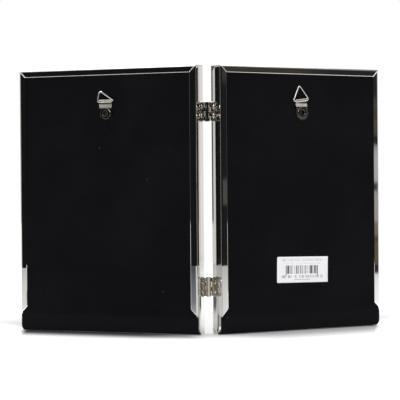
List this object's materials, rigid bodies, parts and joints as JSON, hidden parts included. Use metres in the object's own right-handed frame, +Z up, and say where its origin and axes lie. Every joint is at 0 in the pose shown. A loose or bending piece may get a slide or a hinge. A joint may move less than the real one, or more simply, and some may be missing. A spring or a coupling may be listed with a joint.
{
  "type": "hinged double photo frame",
  "caption": "Free-standing double photo frame of polished metal, opening like a book on small butt hinges, with slide-in velvet backs and wire hanging rings.",
  "frame": {"origin": "centre of the footprint's bounding box, on the table the object stands on", "axes": "+Z up, +Y the way the pictures face, +X across both frames from the left one to the right one"},
  "size_m": [0.2834, 0.0857, 0.2032],
  "materials": {
    "polished_metal": "mirror-polished plate",
    "hinge_nickel": "nickel-plated, lightly worn",
    "hanger_nickel": "bright nickel plate",
    "black_velvet": "short-pile black velvet",
    "black_board": "matte black board",
    "clear_glass": "clear picture glass",
    "photo_paper": "satin photo insert",
    "filler_card": "plain card",
    "spacer_card": "black card",
    "sticker_paper": "coated label paper"
  },
  "bodies": {
    "left_frame": {"left_hinge_rail": "polished_metal", "left_outer_rail": "polished_metal", "left_top_rail": "polished_metal", "left_bottom_rail": "polished_metal", "left_glass": "clear_glass", "left_photo_card": "photo_paper", "left_filler_board": "filler_card", "left_spacer_frame": "spacer_card", "upper_hinge_left_leaf": "hinge_nickel", "upper_hinge_left_screws": "hinge_nickel", "upper_hinge_left_nut_plate": "hinge_nickel", "lower_hinge_left_leaf": "hinge_nickel", "lower_hinge_left_screws": "hinge_nickel", "lower_hinge_left_nut_plate": "hinge_nickel", "upper_hinge_pin": "hinge_nickel", "lower_hinge_pin": "hinge_nickel"},
    "left_back": {"left_back_board": "black_board", "left_velvet": "black_velvet", "left_hanger_strap": "hanger_nickel", "left_hanger_eyelet": "hanger_nickel"},
    "left_ring": {"left_hanger_ring": "hanger_nickel"},
    "right_frame": {"right_hinge_rail": "polished_metal", "right_outer_rail": "polished_metal", "right_top_rail": "polished_metal", "right_bottom_rail": "polished_metal", "right_glass": "clear_glass", "right_photo_card": "photo_paper", "right_filler_board": "filler_card", "right_spacer_frame": "spacer_card", "upper_hinge_right_leaf": "hinge_nickel", "upper_hinge_right_screws": "hinge_nickel", "upper_hinge_right_nut_plate": "hinge_nickel", "lower_hinge_right_leaf": "hinge_nickel", "lower_hinge_right_screws": "hinge_nickel", "lower_hinge_right_nut_plate": "hinge_nickel"},
    "right_back": {"right_back_board": "black_board", "right_velvet": "black_velvet", "right_hanger_strap": "hanger_nickel", "right_hanger_eyelet": "hanger_nickel", "right_sticker": "sticker_paper"},
    "right_ring": {"right_hanger_ring": "hanger_nickel"}
  },
  "joints": [
    {"name": "fold", "type": "hinge", "parent": "left_frame", "child": "right_frame", "pos_m": [0, -0.03147, 0.1016], "axis": [0, 0, 1], "range_deg": [-69, 121]},
    {"name": "left_back_slide", "type": "slide", "parent": "left_frame", "child": "left_back", "axis": [0, 0, -1], "range_m": [0, 0.2052]},
    {"name": "right_back_slide", "type": "slide", "parent": "right_frame", "child": "right_back", "axis": [0, 0, -1], "range_m": [0, 0.2052]},
    {"name": "left_ring_swing", "type": "hinge", "parent": "left_back", "child": "left_ring", "pos_m": [-0.07599, -0.00627, 0.1777], "axis": [0.8704, -0.4924, 0], "range_deg": [-52, 116]},
    {"name": "right_ring_swing", "type": "hinge", "parent": "right_back", "child": "right_ring", "pos_m": [0.07498, -0.00684, 0.17763], "axis": [0.8639, 0.4888, 0.1219], "range_deg": [0, 168]}
  ]
}
